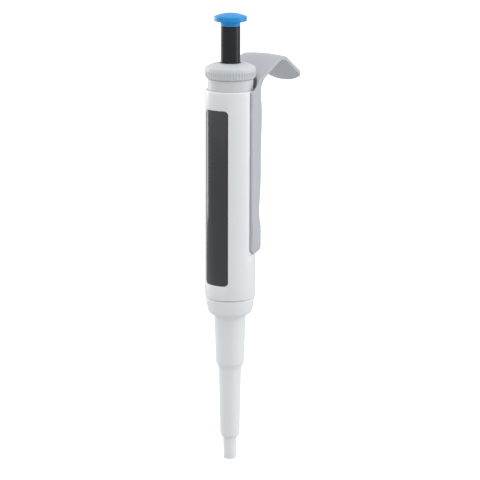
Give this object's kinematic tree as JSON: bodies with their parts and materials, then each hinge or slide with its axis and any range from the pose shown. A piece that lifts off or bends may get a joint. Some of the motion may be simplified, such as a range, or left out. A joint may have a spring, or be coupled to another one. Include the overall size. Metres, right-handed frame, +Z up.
{
  "type": "adjustable micropipette",
  "caption": "Hand-held air-displacement pipette with a thumb plunger, turning volume ring, ejector sleeve, finger hook and tapered nozzle for disposable tips.",
  "frame": {"origin": "centre of the nozzle's mouth, on the pipette's main axis", "axes": "+Z up along the main axis to the button, -Y the label side, +Y the side of the finger hook"},
  "size_m": [0.0292, 0.0624, 0.244],
  "materials": {
    "white_plastic": "satin moulded",
    "panel_plastic": "polished inlay",
    "clear_plastic": "clear lens",
    "grey_plastic": "fine spark-eroded texture",
    "pale_plastic": "satin moulded",
    "blue_plastic": "satin moulded",
    "black_plastic": "polished",
    "nozzle_plastic": "satin moulded",
    "seal_plastic": "waxy",
    "seal_rubber": "matt",
    "piston_steel": "polished",
    "steel": "bright drawn",
    "brass": "turned",
    "frame_plastic": "moulded",
    "wheel_plastic": "moulded"
  },
  "bodies": {
    "handle": {"housing": "white_plastic", "label_panel": "panel_plastic", "display_window": "clear_plastic", "finger_rest": "grey_plastic", "finger_rest_screws": "steel", "mechanism_frame": "frame_plastic", "frame_clip": "steel", "drive_bushing": "brass", "carry_axle": "steel", "base_plate": "frame_plastic", "guide_tube": "steel", "stop_washer": "steel", "blow_out_spring": "steel", "plunger_spring": "steel", "ejector_springs": "steel", "nozzle": "nozzle_plastic", "coupling_nut": "frame_plastic", "piston_seal": "seal_plastic", "seal_ring": "seal_rubber", "seal_retainer": "frame_plastic"},
    "plunger": {"button_cap": "blue_plastic", "button_shaft": "black_plastic", "spindle_retainer": "steel"},
    "ejector": {"ejector_collar": "pale_plastic", "ejector_rods": "steel", "rod_clips": "steel", "rod_bridge": "frame_plastic", "ejector_sleeve": "white_plastic", "ring_clip": "steel"},
    "volume_ring": {"setting_ring": "pale_plastic"},
    "drive": {"drive_sleeve": "frame_plastic", "drive_gear": "brass", "drive_washer": "steel"},
    "screw_spindle": {"spindle": "steel", "spring_cup": "steel"},
    "piston_unit": {"piston_carrier": "frame_plastic", "spindle_nut": "brass", "piston": "piston_steel"},
    "tens_counter": {"counter_axle": "steel", "counter_pinion": "brass", "tens_wheel": "wheel_plastic"},
    "hundreds_counter": {"hundreds_wheel": "wheel_plastic"},
    "thousands_counter": {"thousands_wheel": "wheel_plastic"},
    "lower_carry": {"lower_carry_pinion": "frame_plastic"},
    "upper_carry": {"upper_carry_pinion": "frame_plastic"}
  },
  "joints": [
    {"name": "plunger_press", "type": "slide", "parent": "handle", "child": "plunger", "axis": [0, 0, -1], "range_m": [0, 0.01573], "stiffness_N_per_m": 300, "springref_m": -0.008, "deforming": ["plunger_spring"]},
    {"name": "ejector_press", "type": "slide", "parent": "handle", "child": "ejector", "axis": [0, 0, -1], "range_m": [0, 0.0055], "stiffness_N_per_m": 400, "springref_m": -0.01, "deforming": ["ejector_springs"]},
    {"name": "ring_turn", "type": "hinge", "parent": "ejector", "child": "volume_ring", "pos_m": [0, 0, 0.213], "axis": [0, 0, -1], "range_deg": [0, 3240]},
    {"name": "sleeve_turn", "type": "hinge", "parent": "handle", "child": "drive", "pos_m": [0, 0, 0.181], "axis": [0, 0, -1], "range_deg": [0, 3240]},
    {"name": "spindle_turn", "type": "hinge", "parent": "plunger", "child": "screw_spindle", "pos_m": [0, 0, 0.202], "axis": [0, 0, -1], "range_deg": [0, 3240]},
    {"name": "carrier_screw", "type": "slide", "parent": "plunger", "child": "piston_unit", "axis": [0, 0, -1], "range_m": [0, 0.01146]},
    {"name": "tens_turn", "type": "hinge", "parent": "handle", "child": "tens_counter", "pos_m": [-0.00636, -0.00338, 0.165], "axis": [0, 0, -1], "range_deg": [-3240, 0]},
    {"name": "hundreds_turn", "type": "hinge", "parent": "handle", "child": "hundreds_counter", "pos_m": [-0.00636, -0.00338, 0.163], "axis": [0, 0, -1], "range_deg": [-324, 0]},
    {"name": "thousands_turn", "type": "hinge", "parent": "handle", "child": "thousands_counter", "pos_m": [-0.00636, -0.00338, 0.1683], "axis": [0, 0, -1], "range_deg": [-32.4, 0]},
    {"name": "lower_carry_turn", "type": "hinge", "parent": "handle", "child": "lower_carry", "pos_m": [-0.00237, -0.00813, 0.1603], "axis": [0, 0, -1], "range_deg": [0, 908]},
    {"name": "upper_carry_turn", "type": "hinge", "parent": "handle", "child": "upper_carry", "pos_m": [-0.00237, -0.00813, 0.1656], "axis": [0, 0, -1], "range_deg": [0, 91]}
  ],
  "couplings": [
    {"joint": "ring_turn", "follows": "carrier_screw", "rad_per_m": 4934.8},
    {"joint": "sleeve_turn", "follows": "carrier_screw", "rad_per_m": 4934.8},
    {"joint": "spindle_turn", "follows": "carrier_screw", "rad_per_m": 4934.8},
    {"joint": "tens_turn", "follows": "carrier_screw", "rad_per_m": -4934.8},
    {"joint": "hundreds_turn", "follows": "carrier_screw", "rad_per_m": -493.48},
    {"joint": "thousands_turn", "follows": "carrier_screw", "rad_per_m": -49.348},
    {"joint": "lower_carry_turn", "follows": "carrier_screw", "rad_per_m": 1381.7},
    {"joint": "upper_carry_turn", "follows": "carrier_screw", "rad_per_m": 138.17}
  ]
}
